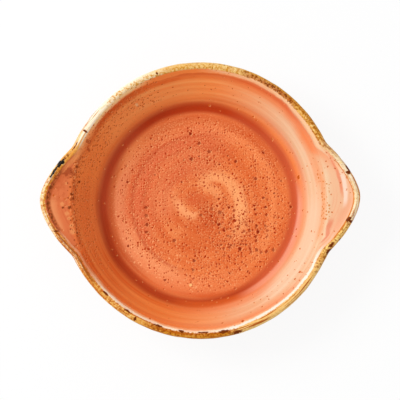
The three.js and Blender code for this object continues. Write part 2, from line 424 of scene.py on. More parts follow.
class Paint:
    """A material's nodes, with short calls that add a node and hand back its output."""

    def __init__(self, name):
        self.material = bpy.data.materials.new(name)
        self.material.use_nodes = True
        self.tree = self.material.node_tree
        self.shader = self.tree.nodes["Principled BSDF"]

    def feed(self, socket, value):
        """Links an output to a socket, or sets the socket's own value."""
        if isinstance(value, bpy.types.NodeSocket):
            self.tree.links.new(value, socket)
        else:
            socket.default_value = value

    def node(self, kind, *inputs, **settings):
        """A node with its settings. An input is a socket's name or number, and what goes into it."""
        made = self.tree.nodes.new(kind)
        for key, value in settings.items():
            setattr(made, key, value)
        for socket, value in inputs:
            self.feed(made.inputs[socket], value)
        return made

    def surface(self, **values):
        """Feeds the shader. A socket's name has _ for each space."""
        for key, value in values.items():
            self.feed(self.shader.inputs[key.replace("_", " ")], value)

    def number(self, operation, a, b):
        return self.node("ShaderNodeMath", (0, a), (1, b), operation=operation).outputs[0]

    def add(self, a, b):
        return self.number("ADD", a, b)

    def less(self, a, b):
        return self.number("SUBTRACT", a, b)

    def times(self, a, *others):
        for b in others:
            a = self.number("MULTIPLY", a, b)
        return a

    def without(self, mask):
        """What a mask leaves free."""
        return self.less(1, mask)

    def strongest(self, first, *others):
        for mask in others:
            first = self.number("MAXIMUM", first, mask)
        return first

    def nearest(self, distances):
        least = next(distances)
        for distance in distances:
            least = self.number("MINIMUM", least, distance)
        return least

    def vector(self, operation, a, b=(0, 0, 0)):
        made = self.node("ShaderNodeVectorMath", (0, a), (1, b), operation=operation)
        gives_number = operation in ("LENGTH", "DOT_PRODUCT", "DISTANCE")
        return made.outputs["Value" if gives_number else "Vector"]

    def scaled(self, a, factor):
        made = self.node("ShaderNodeVectorMath", (0, a), ("Scale", factor), operation="SCALE")
        return made.outputs["Vector"]

    def combine(self, x, y, z):
        return self.node("ShaderNodeCombineXYZ", (0, x), (1, y), (2, z)).outputs[0]

    def step(self, value, low, high, to_low=0, to_high=1):
        """Smoothly from to_low at low to to_high at high."""
        ends = ("From Min", low), ("From Max", high), ("To Min", to_low), ("To Max", to_high)
        made = self.node("ShaderNodeMapRange", ("Value", value), *ends, interpolation_type="SMOOTHSTEP")
        return made.outputs["Result"]

    def band(self, value, a, b, c, d):
        """Rises from a to b and falls from c to d."""
        return self.times(self.step(value, a, b), self.step(value, c, d, 1, 0))

    def mix(self, factor, a, b):
        """A colour between two, each an output or a tone."""
        a, b = (linear(*colour) if isinstance(colour, tuple) else colour for colour in (a, b))
        made = self.node("ShaderNodeMix", ("Factor", factor), (6, a), (7, b), data_type="RGBA")
        return made.outputs[2]

    def noise(self, vector, scale, detail=2, roughness=0.5, output=VALUE):
        grain = ("Detail", detail), ("Roughness", roughness)
        made = self.node("ShaderNodeTexNoise", ("Vector", vector), ("Scale", scale), *grain)
        return made.outputs[output]

    def bump(self, height, strength, distance):
        size = ("Strength", strength), ("Distance", distance)
        return self.node("ShaderNodeBump", ("Height", height), *size).outputs["Normal"]

    def field(self, name):
        """A number that the mesh holds at its points."""
        return self.node("ShaderNodeAttribute", attribute_name=name).outputs["Fac"]

    def place(self):
        """Sets the coordinates that the glazes are painted by, in millimetres.

        mm is the place in the frame, flat the place seen from above, r its distance from the axis and unit
        its direction. Spread is the surface laid flat, and ragged the same with frayed edges. Inset is how
        far out of the outline a point of the rim is, below 0 inside it, and rim lays the rim out straight.
        """
        self.mm = self.scaled(self.node("ShaderNodeTexCoord").outputs["Object"], 1 / MM)
        x, self.y, _ = self.node("ShaderNodeSeparateXYZ", (0, self.mm)).outputs
        self.flat = self.combine(x, self.y, 0)
        self.r = self.vector("LENGTH", self.flat)
        self.unit = self.vector("NORMALIZE", self.flat)
        self.across = self.field("across")
        self.ear = self.field("ear")
        self.spread = self.scaled(self.unit, self.field("path"))
        fray = self.vector("SUBTRACT", self.noise(self.spread, 1.1, output=COLOUR), (0.5, 0.5, 0.5))
        self.ragged = self.vector("ADD", self.spread, self.scaled(fray, 2))
        outline = self.add(self.times(self.ear, EAR_REACH), RIM_RADIUS)
        over_lip = self.add(self.across, -LIP_OUTERMOST)
        self.inset = self.strongest(self.less(self.r, outline), over_lip)
        along = self.times(self.turned_from(RIM_START), radians(1) * RIM_RADIUS)
        self.rim = self.combine(along, self.inset, 0)

    def toward(self, direction):
        """1 in a direction round the dish, -1 behind, and a cosine between."""
        turn = radians(direction)
        return self.vector("DOT_PRODUCT", self.unit, (cos(turn), sin(turn), 0))

    def turned_from(self, direction):
        """Degrees round the dish from a direction, -180 to 180."""
        ahead = self.toward(direction)
        aside = self.toward(direction + 90)
        return self.times(self.number("ARCTAN2", aside, ahead), degrees(1))

    def sector(self, middle, half, soft, share=1):
        """A share within half degrees of a direction round the dish, 0 beyond half plus soft."""
        outer = cos(radians(min(180, half + soft)))
        return self.step(self.toward(middle), outer, cos(radians(half)), 0, share)

    def sectors(self, *rows):
        """The strongest of some sectors."""
        return self.strongest(*(self.sector(*row) for row in rows))

    def shifted(self, place, rows):
        """A place with shifts in some sectors, each a sector whose share is a length."""
        for row in rows:
            place = self.add(place, self.sector(*row))
        return place

    def wandering(self, value, scale, reach, detail=3):
        """A value with a smooth noise from -reach to reach added."""
        even = self.less(self.noise(self.mm, scale, detail), 0.5)
        return self.add(value, self.times(even, 2 * reach))

    def spot(self, x, y, radius, soft, share=1):
        """A share within a radius of a place, with a soft edge."""
        away = self.vector("DISTANCE", self.flat, (x, y, 0))
        return self.step(away, radius - soft, radius + soft, share, 0)

    def blotch(self, angle, inset, along, depth):
        """How far off an oval mark on the rim is, 1 at its edge: its place and half its size."""
        middle = (radians(angle - RIM_START) * RIM_RADIUS, inset, 0)
        away = self.vector("SUBTRACT", self.rim, middle)
        return self.vector("LENGTH", self.vector("MULTIPLY", away, (1 / along, 1 / depth, 0)))

    def brush(self, angular, radial, seed, detail=3):
        """Streaks that run round the dish, as a brush on a wheel leaves them."""
        turned = self.scaled(self.unit, angular)
        lines = self.combine(0, seed, self.times(self.across, radial))
        return self.noise(self.vector("ADD", turned, lines), 1, detail)

    def specks(self, size, share, largest, density, where=None):
        """Round specks: cells of a size, a share of which hold a speck of up to a largest radius."""
        cells = ("Vector", self.ragged if where is None else where), ("Scale", 1 / size)
        found = self.node("ShaderNodeTexVoronoi", *cells, voronoi_dimensions="2D")
        pick = self.node("ShaderNodeSeparateColor", (0, found.outputs["Color"])).outputs
        held = self.number("LESS_THAN", pick[0], self.times(density, share))
        radius = self.step(pick[1], 0, 1, largest * 0.4, largest)
        away = self.times(found.outputs["Distance"], size)
        spot = self.step(self.number("DIVIDE", away, radius), 0.8, 1, 1, 0)
        return self.times(spot, held, self.step(pick[2], 0, 1, 0.7, 1))

    def laid(self, colour, tone, *masks):
        """A colour with a tone laid over it where all the masks are."""
        return self.mix(self.times(*masks), colour, tone)

    def overlaid(self, colour, mask, rows):
        """A colour with tones laid over it: rows of what the mask takes, and a tone."""
        for row, tone in rows:
            colour = self.laid(colour, tone, mask(*row))
        return colour

    def washes(self, colour, place, rows, *breaks):
        """A colour with rows of sector, band and tone laid over it, all broken up by the same masks."""
        for sector, band, tone in rows:
            colour = self.laid(colour, tone, self.sector(*sector), self.band(place, *band), *breaks)
        return colour


# Tables of paint. A sector is degrees: its middle, half its length and how far it fades, then its share.
# A band is millimetres: where it starts, is full, starts to fade and ends. A tone is a colour as it shows
# on a screen, 0 to 255.
WALL_TONE = ((228, 108, 44), (244, 142, 74))
WALL_TONES_WITH_PAINTED_LIGHT = (  # sector, tones between the streaks and in them
    ((98, 40, 30), (254, 146, 74), (255, 166, 94)),
    # painted shade: the lower left wall, which faces away from the key lamp, is painted deeper
    ((205, 34, 34, 0.75), (222, 96, 38), (234, 122, 58)),
    ((176, 16, 18, 0.45), (250, 140, 74), (250, 140, 74)),
    ((148, 14, 14, 0.55), (255, 148, 74), (255, 148, 74)),
    # painted light: the right wall, which faces the key lamp, is painted paler peach
    ((-12, 32, 70), (228, 186, 146), (234, 200, 164)),
    ((-90, 22, 24, 0.18), (238, 138, 62), (238, 138, 62)),
)


def wall_colour(p):
    """The wall's brushed bands, painted paler to the right as painted light and deeper to the lower left as
    painted shade.
    """
    streaks = p.step(p.brush(0.8, 0.3, seed=5), 0.35, 0.65)
    colour = p.mix(streaks, *WALL_TONE)
    for sector, *tones in WALL_TONES_WITH_PAINTED_LIGHT:
        colour = p.mix(p.sector(*sector), colour, p.mix(streaks, *tones))
    return colour


FLOOR_WASHES = (  # sector, band from the axis, tone: by the corner, then further in
    ((210, 40, 40, 0.65), (46.5, 52, 54.5, 59), (236, 143, 99)),
    ((258, 26, 26, 0.55), (46, 51, 58, 62), (238, 142, 90)),
    ((25, 48, 34, 0.7), (45, 49, 50.5, 55), (246, 152, 94)),
    ((160, 42, 34, 0.5), (34, 40, 43.5, 46.5), (214, 100, 62)),
    ((-25, 60, 60, 0.4), (10, 26, 56, 61), (226, 110, 50)),
    ((135, 50, 40, 0.55), (14, 24, 46, 57), (212, 100, 62)),
)
FLOOR_SPOTS = (  # millimetres: middle, radius and softness; share; tone
    ((6.5, -10.5, 7, 4, 0.9), (198, 76, 28)),
    ((3.5, -1.5, 5, 4, 0.6), (204, 86, 38)),
    ((-22, 2, 9, 7, 0.35), (238, 142, 92)),
)
FLOOR_PATCHES = (  # sector, band from the axis, tone
    ((-90, 20, 20, 0.5), (12, 17, 29, 35), (206, 84, 32)),
    ((50, 20, 20, 0.5), (8, 11, 14, 17.5), (248, 166, 106)),
    ((0, 16, 14, 0.5), (21, 24.5, 29.5, 33), (252, 176, 116)),
    ((225, 20, 18, 0.42), (42, 46.5, 50.5, 54), (246, 162, 110)),
    ((120, 60, 30, 0.3), (36.2, 37.2, 37.6, 39.6), (192, 80, 40)),
)
FLOOR_LINES_AND_CORNER_SHADE = (  # the same of finer lines, which wander less
    # painted shade: the first two rows darken the floor just inside the corner, at the top and the left,
    # which face away from the key lamp
    ((75, 42, 24, 0.4), (51, 54.5, 57.5, 60), (194, 82, 40)),
    ((190, 28, 20, 0.4), (55.5, 58.5, 60.5, 62), (170, 60, 24)),
    ((165, 70, 30, 0.7), (43.6, 44.8, 45.4, 47.4), (196, 84, 46)),
)
SPARK = (253, 182, 126)
GRAIN = (184, 70, 26)
# The corner's dark ring: glaze pooled in the corner, with painted shade, darkest where the corner faces
# away from the key lamp
POOL_AND_SHADE = (59, 63.5, 65, 69.5)
POOL_AND_SHADE_TONE = (170, 46, 6)
# painted light: the ring is painted lighter on the right, where the corner faces the key lamp
POOL_AND_SHADE_TONES = (  # sector, tone
    ((-15, 38, 46), (200, 86, 48)),
    ((160, 22, 18, 0.6), (188, 72, 38)),
    ((-115, 42, 26), (172, 58, 20)),
    ((45, 16, 14, 0.6), (190, 78, 44)),
)
# painted light: on the lit right side the painted shade lies further in
POOL_AND_SHADE_SHIFTS = (  # degrees: middle, half length, softness; millimetres that the pool lies further in
    (-5, 45, 50, 1.8),
    (180, 40, 30, 0.8),
    (-105, 36, 30, -1.8),
    (90, 36, 36, 0.3),
)
WALL_WASHES_WITH_PAINTED_LIGHT = (  # sector, band from the axis, tone
    ((24, 40, 26, 0.3), (65.5, 67.5, 68.5, 72.5), (236, 130, 62)),
    # pooled glaze and painted shade: the corner's dark ring carried further out at the top
    ((76, 18, 18, 0.4), (61.5, 63.5, 66.8, 68.5), (186, 62, 16)),
    # pooled glaze and painted shade: the corner's dark ring deepened at the lower left
    ((-165, 14, 14, 0.35), (64, 65.5, 67.5, 69.5), (160, 44, 6)),
    ((-76, 16, 20, 0.42), (63.5, 66, 71, 74.5), (230, 106, 40)),
    # painted highlight: a pink line along the corner's curve on the right, where it mirrors the key lamp
    ((-28, 24, 20, 0.6), (63.8, 65.6, 66.8, 69), (238, 162, 132)),
    # painted light: the right wall, which faces the key lamp, painted paler still
    ((-28, 20, 14, 0.35), (70, 73, 77.5, 80.5), (240, 216, 190)),
    ((115, 18, 16, 0.4), (68, 71, 78, 80.5), (255, 166, 96)),
    ((-106, 18, 16, 0.3), (71, 74, 79, 81), (248, 150, 78)),
)


def swirl(p, r, middle, radius, widening, half, soft, inner, outer):
    """A spiral stroke: its direction, its radius there, and how it widens and fades along and across."""
    core = 0.8
    off = p.less(r, p.add(p.times(p.turned_from(middle), widening), radius))
    return p.times(p.band(off, -inner, -core, core, outer), p.sector(middle, half, soft))


def floor_colour(p, grain):
    """The brushed orange floor, with a swirl of paler glaze in the middle and sponged grain."""
    r = p.wandering(p.r, 0.06, 2.5, 2)
    near = p.wandering(p.r, 0.05, 1.2, 1)
    broad = p.step(p.brush(0.9, 0.16, seed=11, detail=2), 0.3, 0.7)
    fine = p.step(p.brush(1.6, 0.55, seed=3, detail=4), 0.45, 0.75)
    colour = p.mix(broad, (214, 97, 46), (230, 127, 71))
    colour = p.laid(colour, (240, 148, 90), fine, 0.35)
    colour = p.washes(colour, r, FLOOR_WASHES)

    # patches, fine lines, painted shade by the corner, and the swirl in the middle
    oval = p.vector("DISTANCE", p.vector("MULTIPLY", p.flat, (1, 1.5, 1)), (-3.5, 4.5, 0))
    colour = p.laid(colour, (206, 88, 44), p.step(oval, 10, 4, 0, 0.65))
    colour = p.overlaid(colour, p.spot, FLOOR_SPOTS)
    colour = p.washes(colour, r, FLOOR_PATCHES)
    colour = p.washes(colour, near, FLOOR_LINES_AND_CORNER_SHADE)
    bent = p.add(r, p.sector(54, 8, 26, -2.5))
    large = swirl(p, bent, 22, radius=22.9, widening=-0.134, half=40, soft=46, inner=4.5, outer=8)
    colour = p.laid(colour, (250, 170, 110), large, 0.7)
    small = swirl(p, r, 212, radius=10.2, widening=-0.075, half=28, soft=26, inner=3, outer=6)
    colour = p.laid(colour, (248, 168, 112), small, 0.7)

    # sponged grain, with sparks of pale glaze to the lower left
    sparks = p.times(p.sector(238, 36, 30), p.band(p.r, 30, 42, 56, 60))
    colour = p.laid(colour, SPARK, p.specks(2, 0.45, 0.65, sparks), 0.6)
    patches = p.step(p.noise(p.spread, 0.05), 0.35, 0.62, 0.5, 1)
    calm = p.without(p.sector(200, 44, 30, 0.35))
    on_floor = p.times(p.step(p.r, 54, 62, 1, 0.25), patches, calm)
    colour = p.laid(colour, SPARK, p.step(grain, 0.51, 0.64), on_floor, 0.65)
    return p.laid(colour, GRAIN, p.step(grain, 0.46, 0.35), on_floor, 0.55)


def inside_colour(p):
    """The orange glaze of the floor and the wall, pooled darker in the corner, with painted shade there."""
    grain = p.noise(p.spread, 1, detail=4, roughness=0.75)
    wall_start = p.add(p.r, p.sector(45, 22, 26, -1.6))
    colour = p.mix(p.step(wall_start, 65, 72), floor_colour(p, grain), wall_colour(p))
    dark = p.overlaid(POOL_AND_SHADE_TONE, p.sector, POOL_AND_SHADE_TONES)
    pool_and_shade = p.band(p.shifted(p.r, POOL_AND_SHADE_SHIFTS), *POOL_AND_SHADE)
    # pooled glaze and painted shade in the corner
    colour = p.mix(p.times(pool_and_shade, 0.95), colour, dark)
    sponged = p.times(p.sector(158, 28, 18), p.band(p.r, 67, 72, 81, 85))
    colour = p.laid(colour, (186, 76, 26), p.step(grain, 0.47, 0.37), sponged, 0.55)
    colour = p.laid(colour, (255, 172, 98), p.step(grain, 0.53, 0.63), sponged, 0.45)
    return p.washes(colour, p.r, WALL_WASHES_WITH_PAINTED_LIGHT)


BAND_DEPTHS = (  # degrees: middle, half length, softness; millimetres that the gold band reaches further in
    (0, 12, 6, 1),
    (33, 8, 6, 0.7),
    (90, 14, 10, 0.4),
    (130, 24, 12, 0.9),
    (165, 4, 4, 1),
    (183, 7, 5, -0.6),
    (205, 6, 5, -0.3),
    (268, 14, 8, -0.5),
    (312, 18, 8, 0.4),
    (343, 10, 6, 1),
)
LIP_WASHES = (  # sector, band out of the outline, tone
    ((46, 18, 18, 0.6), (-13, -9, -7.4, -6.2), (240, 112, 30)),
    ((-84, 24, 20, 0.3), (-12, -9, -7.4, -6.2), (240, 138, 82)),
    ((95, 46, 22, 0.55), (-10, -7.4, -6.6, -5.8), (214, 74, 14)),
    ((-84, 32, 24, 0.4), (-10, -7.4, -6.6, -5.8), (236, 112, 42)),
    ((-15, 3, 4, 0.75), (-9.1, -8.6, -8, -7.3), (222, 120, 84)),
    ((-12, 9, 5, 0.5), (-7.8, -6.6, -4.6, -3.6), (234, 154, 116)),
)
LEFT_LIP = (((150, 20, 20, 0.3), (-9.5, -7.5, -6, -5), (182, 66, 22)),)
LOWER_LIP = (((-104, 36, 16, 0.85), (-7.6, -6.4, -5.4, -4.9), (248, 184, 132)),)
CREAM_LIP = (((136, 14, 12), (-6.2, -4.8, 0, 1), (255, 218, 154)),)
LEFT_STRIPE = (((156, 8, 6, 0.9), (-8.4, -6.2, -5, -4), (252, 160, 92)),)
THIN = (-6.4, -5.5, -4.7, -4.1)  # the band in which the glaze thins over the lip's edge
THIN_FAIR = ((52, 26, 14, 0.75), (20, 7, 6, 0.6), (142, 10, 10, 0.65), (208, 12, 7, 0.5))
# thinned glaze with a painted highlight of the key lamp on the lip's round, to the lower right
THIN_PALE_AND_HIGHLIGHT = ((-102, 34, 14, 0.95), (-26, 6, 8, 0.3))


def band_place(p):
    """Millimetres out of the outline, counted so that the gold band is of one depth all round."""
    return p.shifted(p.inset, BAND_DEPTHS)


def lip_breaks(p, colour):
    """The dark line near the top of the wall, and the pale line where the glaze thins over the lip, painted
    whiter to the lower right as a painted highlight.
    """
    inset = p.wandering(band_place(p), 0.16, 0.5, 2)
    frayed = p.wandering(inset, 0.9, 0.6)
    clouds = p.step(p.noise(p.ragged, 0.32, detail=4, roughness=0.7), 0.46, 0.62)
    mottle = p.times(clouds, p.sector(150, 20, 20, 0.35))
    broken = p.step(p.brush(5, 0.7, seed=61), 0.4, 0.54, 0.55, 1)
    thin = p.band(frayed, *THIN)
    colour = p.washes(colour, inset, LIP_WASHES)
    colour = p.laid(colour, (170, 62, 16), p.band(inset, -15, -8, -6, -5), mottle)
    colour = p.washes(colour, inset, LEFT_LIP)
    colour = p.washes(colour, frayed, LOWER_LIP, broken)
    colour = p.laid(colour, (252, 206, 158), thin, p.sectors(*THIN_FAIR), broken)
    colour = p.washes(colour, frayed, CREAM_LIP)
    colour = p.washes(colour, frayed, LEFT_STRIPE, broken)
    # painted highlight along the lip's inner edge, over the thinned glaze
    colour = p.laid(colour, (254, 232, 204), thin, p.sectors(*THIN_PALE_AND_HIGHLIGHT), broken)
    # painted highlight: the whitest part of the line, to the lower right
    return p.laid(colour, (252, 240, 224), thin, p.sector(-53, 22, 12))


CREASE_PALE = (  # millimetres: the middle of a pale mark on the left ear, and its radius
    (-89.3, -1.4, 1.5),
    (-86.2, -7.4, 1.5),
    (-85.2, -10.6, 1.3),
    (-83.4, -15.4, 1.5),
    (-82.9, -19.2, 2),
    (-86.6, 12, 1),
)
CREASE_DARK = (  # the same of the dark marks
    (-83.3, 5.3, 1.1),
    (-82.4, 2.2, 0.8),
    (-84.9, -3.6, 1.1),
    (-82.3, -11.2, 0.9),
    (-88.9, -3.6, 0.8),
    (-79.8, 23, 0.9),
    (-78.4, 13.6, 0.8),
)
EAR_FOLDS = (  # sector, band from the axis as the ear's own lines run, tone
    ((11, 6, 6, 0.75), (83, 84.2, 84.8, 86.2), (232, 132, 96)),
    ((4, 4, 5, 0.95), (85.3, 86.2, 87.6, 89), (246, 212, 190)),
)
EAR_SEAM = (((-4, 10, 8, 0.45), (79, 79.8, 80.8, 81.8), (234, 142, 76)),)


def marks(p, places):
    """Ragged round marks."""
    distances = (p.times(p.vector("DISTANCE", p.flat, (x, y, 0)), 1 / r) for x, y, r in places)
    return p.step(p.wandering(p.nearest(distances), 0.7, 0.6), 0.5, 1.3, 1, 0)


def ear_tops(p, colour):
    """The ears' wash with lines along their edge, and the speckled crease where they leave the rim."""
    right = p.sector(0, 60, 40)
    ledge = p.times(p.step(p.ear, 0.03, 0.2), p.step(p.r, 82.5, 87))
    middle = p.less(p.r, p.add(p.times(p.ear, EAR_REACH / 2), p.times(p.y, 0.085)))
    middle = p.wandering(middle, 0.12, 0.9, 2)
    streams = p.noise(p.combine(p.times(middle, 0.55), p.times(p.y, 0.03), 7), 1)
    # painted light: the right ear's ledge, which faces the key lamp, is painted paler than the left one
    wash = p.mix(right, (216, 114, 70), (238, 182, 142))
    veins = p.mix(right, (198, 90, 52), (236, 162, 124))
    wash = p.mix(p.step(streams, 0.46, 0.64, 0, 0.6), wash, veins)
    colour = p.mix(p.times(ledge, 0.85), colour, wash)
    colour = p.washes(colour, middle, EAR_FOLDS)
    shade = p.sectors((21, 9, 9, 0.5), (0, 14, 8, 0.15))
    colour = p.laid(colour, (236, 142, 84), p.band(p.r, 75, 77.5, 79.5, 83), shade)
    colour = p.washes(colour, p.wandering(p.r, 0.25, 0.8, 2), EAR_SEAM)

    crease = p.times(p.band(p.r, 78, 81, 84.5, 88), p.step(p.ear, 0.05, 0.3), p.without(right))
    groove = p.band(p.wandering(p.r, 0.16, 1.3), 81.4, 82.4, 83, 84.4)
    freckles = p.times(p.band(p.r, 77.5, 79.5, 82.5, 86), p.sector(1, 8, 5, 0.8))
    colour = p.laid(colour, (174, 72, 30), crease, groove, 0.6)
    colour = p.laid(colour, (236, 152, 92), marks(p, CREASE_PALE), 0.65)
    colour = p.laid(colour, (140, 54, 12), p.specks(1.9, 0.55, 0.85, crease), 0.85)
    colour = p.laid(colour, (242, 158, 96), p.specks(3.4, 0.35, 1.1, crease), 0.5)
    colour = p.laid(colour, (122, 48, 8), marks(p, CREASE_DARK), 0.9)
    return p.laid(colour, (204, 112, 8), p.specks(2.4, 0.8, 0.9, freckles), 0.95)


STROKES_AND_HIGHLIGHT = (  # sector, millimetres out of the outline: from and to, tone
    ((95, 40, 14, 0.8), (-6.8, 9), (240, 204, 138)),
    ((124, 12, 10, 0.8), (-6.8, 9), (246, 226, 188)),
    ((140, 9, 7, 0.9), (-6.8, 9), (250, 230, 194)),
    # cream glaze and painted highlight: near white over the outer lip at the upper left, which faces the
    # key lamp
    ((134, 16, 8, 0.75), (-2.3, 9), (253, 242, 224)),
    ((156, 6, 4, 0.85), (-6.8, 9), (240, 178, 100)),
    ((165, 5, 4), (-6.8, -3.2), (246, 164, 66)),
    ((166, 4.5, 3.5, 0.65), (-3.2, -1.4), (168, 92, 26)),
    ((188, 17, 8, 0.75), (-2.4, 2), (248, 220, 172)),
    ((210, 12, 10, 0.6), (-6.8, 9), (230, 166, 88)),
    ((238, 9, 8, 0.75), (-6.8, 9), (242, 184, 98)),
    ((264, 14, 8, 0.9), (-6.8, -2.2), (190, 98, 0)),
    ((262, 14, 8, 0.85), (-2.2, 9), (214, 132, 22)),
    ((308, 20, 8), (-6.8, 9), (255, 214, 140)),
    ((314, 22, 8, 0.55), (-5.4, -2.2), (232, 170, 84)),
    ((348, 9, 6, 0.95), (-7, 9), (255, 216, 130)),
    ((349, 9, 5, 0.9), (-1.4, 2), (238, 164, 52)),
    ((2, 9, 4, 0.95), (-4.6, -1.6), (250, 228, 190)),
    ((2, 10, 4), (-1.2, 2), (212, 112, 0)),
    ((17, 5, 5, 0.95), (-6.8, -1), (250, 228, 190)),
    ((36, 16, 6, 0.7), (-2, 9), (226, 160, 66)),
    ((33, 11, 6, 0.7), (-6.8, -2.9), (230, 176, 98)),
    ((33, 12, 6, 0.75), (-2.9, -2), (180, 100, 10)),
    ((57, 9, 6, 0.9), (-4.6, -1.6), (184, 84, 0)),
    ((57, 10, 7, 0.85), (-1.6, 3), (214, 142, 20)),
)
FLECKS = (  # the same, laid on in flecks
    ((97, 31, 10, 0.9), (-5.6, -1.8), (208, 140, 34)),
    ((57, 10, 7), (-5.4, -1.4), (140, 64, 0)),
    ((54, 6, 5, 0.9), (-5.4, -2.2), (112, 42, 0)),
    ((33, 9, 6, 0.8), (-5.6, -1), (176, 100, 10)),
    ((266, 15, 8, 0.9), (-5.6, -1), (146, 66, 0)),
    ((183, 13, 9, 0.8), (-5.6, 4), (190, 108, 14)),
    ((166, 4, 3, 0.95), (-3.6, -1.4), (112, 54, 4)),
    ((340, 9, 8, 0.7), (-6.5, -1), (150, 76, 4)),
    ((214, 18, 12, 0.8), (-5.6, 4), (190, 92, 22)),
)
FADE_OUT, FADE_IN = 0.5, 0.3  # how far a stroke fades on either side of its ends
DEEP = ((57, 11, 7, 0.8), (265, 14, 8, 0.7))  # where few light flecks show
CALM = ((125, 29, 10, 0.9), (310, 24, 10, 0.6), (208, 14, 8, 0.6))  # where few loose flecks show
GLEAMING = ((143, 9, 6, 0.9), (3, 9, 5, 0.45), (190, 16, 8, 0.6))  # where pale threads show
STRIPED = (  # where brown threads show
    (141, 9, 6, 0.8),
    (214, 18, 12, 0.8),
    (310, 24, 10, 0.95),
    (4, 20, 10, 0.5),
    (262, 22, 10, 0.75),
    (184, 14, 8, 0.5),
)
BAND_LINES = (  # sector, band out of the outline, tone
    ((0, 16, 5, 0.85), (-6, -5.4, -4.8, -4.2), (210, 116, 36)),
    ((203, 11, 5, 0.85), (-3.8, -3.2, -2.6, -2.1), (150, 70, 8)),
)


def soft_ended(rows):
    """Rows of strokes with their depths as bands."""
    for sector, (low, high), tone in rows:
        band = (low - FADE_OUT, low + FADE_IN, high - FADE_IN, high + FADE_OUT)
        yield sector, band, tone


def edge_colour(p):
    """The gold and brown band: strokes, flecks and fine lines over the lip, and a painted highlight on its
    outer side at the upper left.
    """
    inset = p.wandering(p.inset, 0.5, 0.7)
    lines = p.step(p.brush(6, 0.8, seed=29), 0.4, 0.6)
    flecks = p.noise(p.ragged, 0.52, detail=3, roughness=0.65)
    aside = p.vector("ADD", p.ragged, (40, 0, 0))
    patchy = p.step(p.noise(aside, 0.5, detail=3, roughness=0.6), 0.4, 0.62, 0.6, 1)
    threads = p.brush(4, 1.2, seed=71, detail=2)
    rough = p.without(p.sectors(*CALM))
    colour = p.mix(lines, (198, 120, 10), (228, 168, 62))
    colour = p.washes(colour, inset, soft_ended(STROKES_AND_HIGHLIGHT), patchy)
    light = p.times(p.step(flecks, 0.44, 0.37), p.without(p.sectors(*DEEP)))
    colour = p.laid(colour, (250, 218, 146), light, rough, 0.7)
    colour = p.washes(colour, inset, soft_ended(FLECKS), p.step(flecks, 0.49, 0.56))
    colour = p.laid(colour, (154, 80, 4), p.step(flecks, 0.6, 0.66), rough, 0.8)
    colour = p.laid(colour, (100, 42, 0), p.step(flecks, 0.68, 0.73), rough)
    colour = p.laid(colour, (253, 240, 216), p.step(threads, 0.54, 0.6), p.sectors(*GLEAMING))
    colour = p.laid(colour, (178, 84, 10), p.step(threads, 0.45, 0.39), p.sectors(*STRIPED))
    return p.washes(colour, inset, BAND_LINES)


SCORCH = (  # degrees round the rim, then millimetres: out of the outline, half length, half depth
    (164.6, -2.4, 3.2, 1.9),
    (168.2, -2, 5, 0.9),
)
RUST = (  # the same of the brown marks
    (11, -1.2, 2.4, 0.9),
    (9.4, -3, 1.4, 1.6),
    (108, -3.3, 0.7, 0.8),
    (148.3, -3.4, 0.7, 1.9),
    (156.5, -2.3, 4.2, 0.45),
    (191.6, -3.4, 1, 1.8),
    (223.8, -4.2, 2.2, 0.7),
    (236, -4.2, 2.4, 0.7),
    (240.5, -2.6, 1, 1.6),
    (250.8, -4.2, 3, 0.9),
    (261, -4, 2.4, 1),
    (270.5, -4.3, 4, 0.6),
    (279, -3.6, 4, 1.3),
    (284.6, -1.3, 3.4, 1),
    (-23, -1.4, 2.4, 1.3),
    (-20.4, -3, 2, 1.2),
    (-17, -0.9, 1, 0.8),
    (-8.6, -4, 1.8, 1.5),
    (-9.2, -1.8, 0.9, 1.6),
)
STAINS = (  # the same of the stains on the wall by the left ear
    (151.4, -8, 1.5, 1.8),
    (154.6, -10.4, 1.6, 1.3),
    (167, -9.3, 3.4, 2),
)
LEFT_WASHES = (  # sector, band out of the outline, tone
    ((185, 4, 4, 0.5), (-9.2, -8, -7.2, -6.2), (242, 162, 106)),
    ((178, 9, 6, 0.6), (-8, -6.5, -5, -4), (184, 88, 42)),
)
LEFT_BURN = (((179, 9, 5, 0.85), (-7.6, -6, -4.8, -3.8), (122, 54, 8)),)


def blotches(p, places):
    """Ragged marks on the rim."""
    away = p.nearest(p.blotch(*place) for place in places)
    return p.step(p.wandering(away, 0.6, 1.1), 0.7, 1.1, 1, 0)


def left_burns(p, colour):
    """The ragged brown inside the band at the left ear, and the stains that run down above it."""
    clouds = p.step(p.noise(p.ragged, 0.42, detail=4, roughness=0.7), 0.44, 0.56)
    colour = p.washes(colour, p.inset, LEFT_WASHES)
    colour = p.laid(colour, (150, 56, 22), blotches(p, STAINS), 0.6)
    return p.washes(colour, p.inset, LEFT_BURN, clouds)


def outside_colour(p):
    """The brushed orange outside, with broad paler clouds."""
    streaks = p.step(p.brush(1.3, 0.42, seed=31, detail=4), 0.36, 0.64)
    clouds = p.step(p.noise(p.mm, 0.035), 0.4, 0.65, 0, 0.4)
    colour = p.mix(streaks, (206, 96, 48), (234, 134, 78))
    return p.laid(colour, (242, 166, 112), clouds)


def over_the_wall(p, colour):
    """What the inside coat and the edge coat share, so that their tones run into each other."""
    return left_burns(p, lip_breaks(p, ear_tops(p, colour)))


def under_the_lip(p, colour):
    """The band's end on the outside, shared by the edge coat and the outside coat."""
    across = p.wandering(p.across, 0.35, 1.1)
    return p.mix(p.step(across, LIP_LENGTH + 1, LIP_LENGTH + 5), colour, outside_colour(p))


